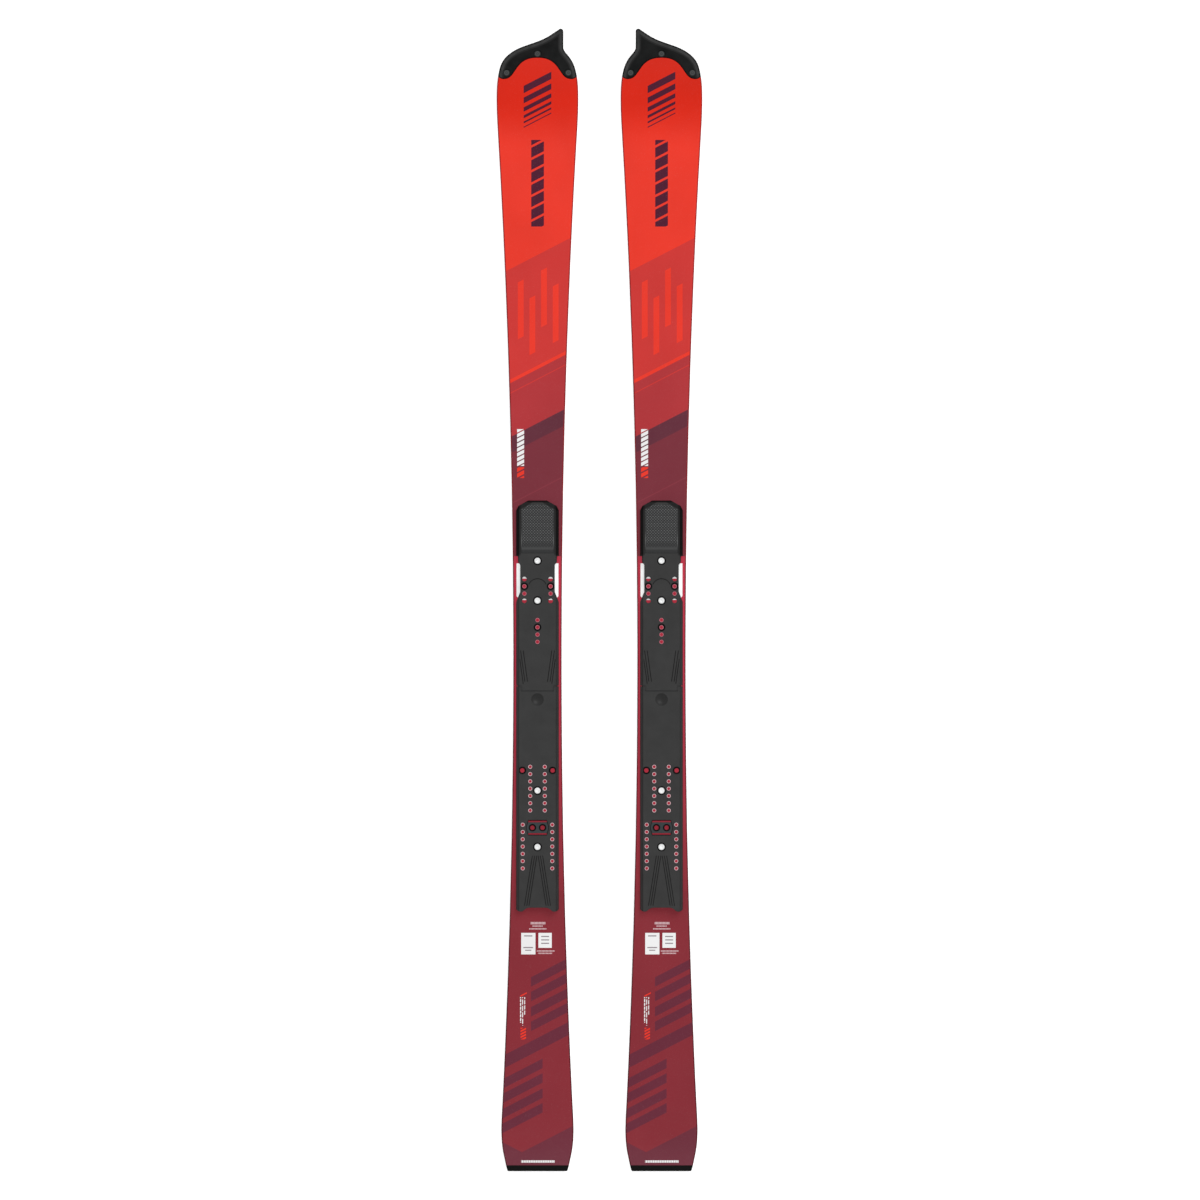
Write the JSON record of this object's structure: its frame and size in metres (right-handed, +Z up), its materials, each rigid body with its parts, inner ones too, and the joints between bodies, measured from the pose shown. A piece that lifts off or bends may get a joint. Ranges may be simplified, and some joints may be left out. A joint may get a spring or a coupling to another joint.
{
  "type": "alpine ski pair",
  "caption": "Pair of short-turn race skis with sidecut, raised spiked tips and two-piece drilled binding plates, lying flat side by side.",
  "frame": {"origin": "on the floor, midway between the two skis and midway along their length", "axes": "+Y along the skis towards their tips, +X across the pair from the left ski to the right ski, +Z up"},
  "size_m": [0.2826, 1.5698, 0.0509],
  "materials": {
    "base": "fine stone-ground structure",
    "edge_steel": "ground and polished",
    "fibre": "woven glass in resin",
    "titanal": "satin sheet",
    "core_wood": "laminated lengthwise strips",
    "sidewall": "planed, satin",
    "spacer": "moulded",
    "topsheet": "printed and clear-coated, red fading to dark wine",
    "protector": "fine moulded grain",
    "rivet": "black satin",
    "shim": "white satin",
    "pad": "smooth elastomer",
    "plate": "fine moulded grain",
    "grip": "small diamond pattern",
    "guide": "fine moulded grain",
    "fastener": "zinc-plated",
    "insert": "bright turned"
  },
  "bodies": {
    "left_ski": {"left_base_fibre": "fibre", "left_front_pad": "pad", "left_front_plate": "plate", "left_grip_pad": "grip", "left_guide_block": "guide", "left_lower_titanal": "titanal", "left_plate_screws": "fastener", "left_rear_pad": "pad", "left_running_base": "base", "left_sidewalls": "sidewall", "left_slide_bushes": "fastener", "left_steel_edges": "edge_steel", "left_tail_protector": "protector", "left_tail_spacer": "spacer", "left_tip_protector": "protector", "left_tip_rivets": "rivet", "left_tip_spacer": "spacer", "left_toe_inserts": "insert", "left_toe_shim": "shim", "left_topsheet": "topsheet", "left_upper_titanal": "titanal", "left_wood_core": "core_wood"},
    "left_rear_plate": {"left_heel_inserts": "insert", "left_rear_plate": "plate"},
    "right_ski": {"right_base_fibre": "fibre", "right_front_pad": "pad", "right_front_plate": "plate", "right_grip_pad": "grip", "right_guide_block": "guide", "right_lower_titanal": "titanal", "right_plate_screws": "fastener", "right_rear_pad": "pad", "right_running_base": "base", "right_sidewalls": "sidewall", "right_slide_bushes": "fastener", "right_steel_edges": "edge_steel", "right_tail_protector": "protector", "right_tail_spacer": "spacer", "right_tip_protector": "protector", "right_tip_rivets": "rivet", "right_tip_spacer": "spacer", "right_toe_inserts": "insert", "right_toe_shim": "shim", "right_topsheet": "topsheet", "right_upper_titanal": "titanal", "right_wood_core": "core_wood"},
    "right_rear_plate": {"right_heel_inserts": "insert", "right_rear_plate": "plate"}
  },
  "joints": [
    {"name": "left_plate_float", "type": "slide", "parent": "left_ski", "child": "left_rear_plate", "axis": [0, 1, 0], "range_m": [-0.0013, 0.0004], "stiffness_N_per_m": 5000},
    {"name": "right_plate_float", "type": "slide", "parent": "right_ski", "child": "right_rear_plate", "axis": [0, 1, 0], "range_m": [-0.0013, 0.0004], "stiffness_N_per_m": 5000},
    {"name": "right_ski_glide", "type": "slide", "parent": "left_ski", "child": "right_ski", "axis": [0, 1, 0], "range_m": [-0.4, 0.4]}
  ]
}
